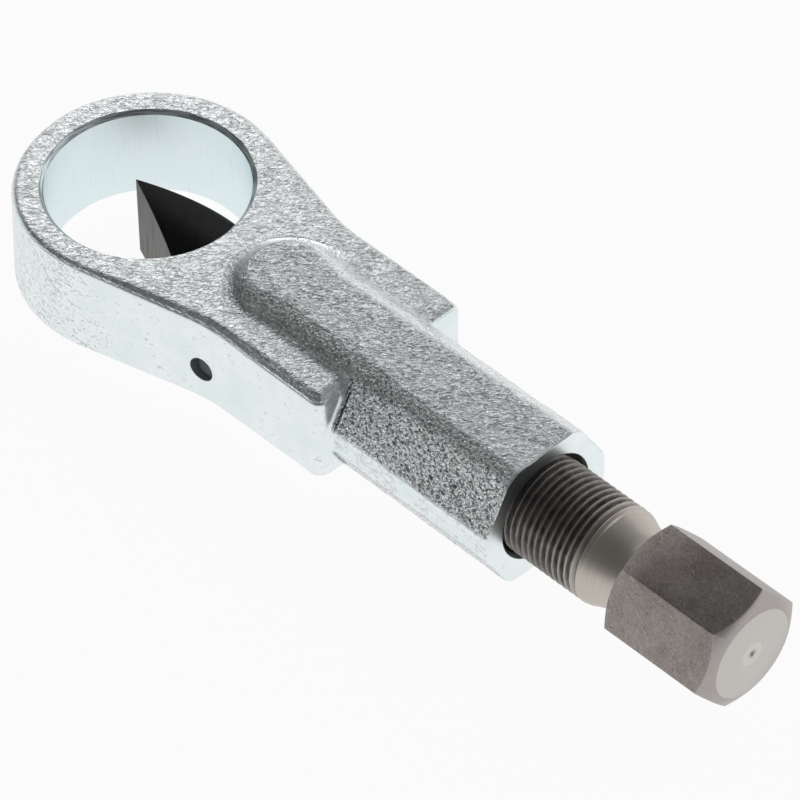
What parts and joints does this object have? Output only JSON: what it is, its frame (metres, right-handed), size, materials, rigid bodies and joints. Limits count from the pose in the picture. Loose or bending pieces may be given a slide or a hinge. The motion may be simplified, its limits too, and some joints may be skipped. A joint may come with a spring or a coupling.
{
  "type": "nut splitter",
  "caption": "Hand tool that splits a seized nut: a forged body with a ring eye, a wedge chisel sliding in its barrel, and a screw spindle with a hexagon head that drives the chisel.",
  "frame": {"origin": "centre of the eye's bore, half way through the slab, on the spindle axis", "axes": "+X along the spindle axis from the eye towards the hexagon head, +Z along the eye's bore, -Y the side with the guide pin"},
  "size_m": [0.182, 0.052, 0.028],
  "materials": {
    "frame_zinc": "zinc plated forging, rough skin with smooth trimmed and machined faces",
    "chisel_steel": "blackened tool steel with ground wedge flanks",
    "guide_pin_steel": "dull dark steel",
    "spindle_steel": "oiled dark steel, turned neck and end face left bright",
    "retaining_pin_steel": "plain hardened pin"
  },
  "bodies": {
    "body": {"frame": "frame_zinc", "guide_pin": "guide_pin_steel"},
    "chisel": {"chisel": "chisel_steel", "retaining_pin": "retaining_pin_steel"},
    "spindle": {"spindle": "spindle_steel"}
  },
  "joints": [
    {"name": "chisel_slide", "type": "slide", "parent": "body", "child": "chisel", "axis": [-1, 0, 0], "range_m": [-0.0105, 0.0135]},
    {"name": "spindle_turn", "type": "hinge", "parent": "chisel", "child": "spindle", "pos_m": [0.1, 0, 0], "axis": [-1, 0, 0], "range_deg": [-2520, 3240]}
  ],
  "couplings": [
    {"joint": "spindle_turn", "follows": "chisel_slide", "rad_per_m": 4188.8}
  ]
}
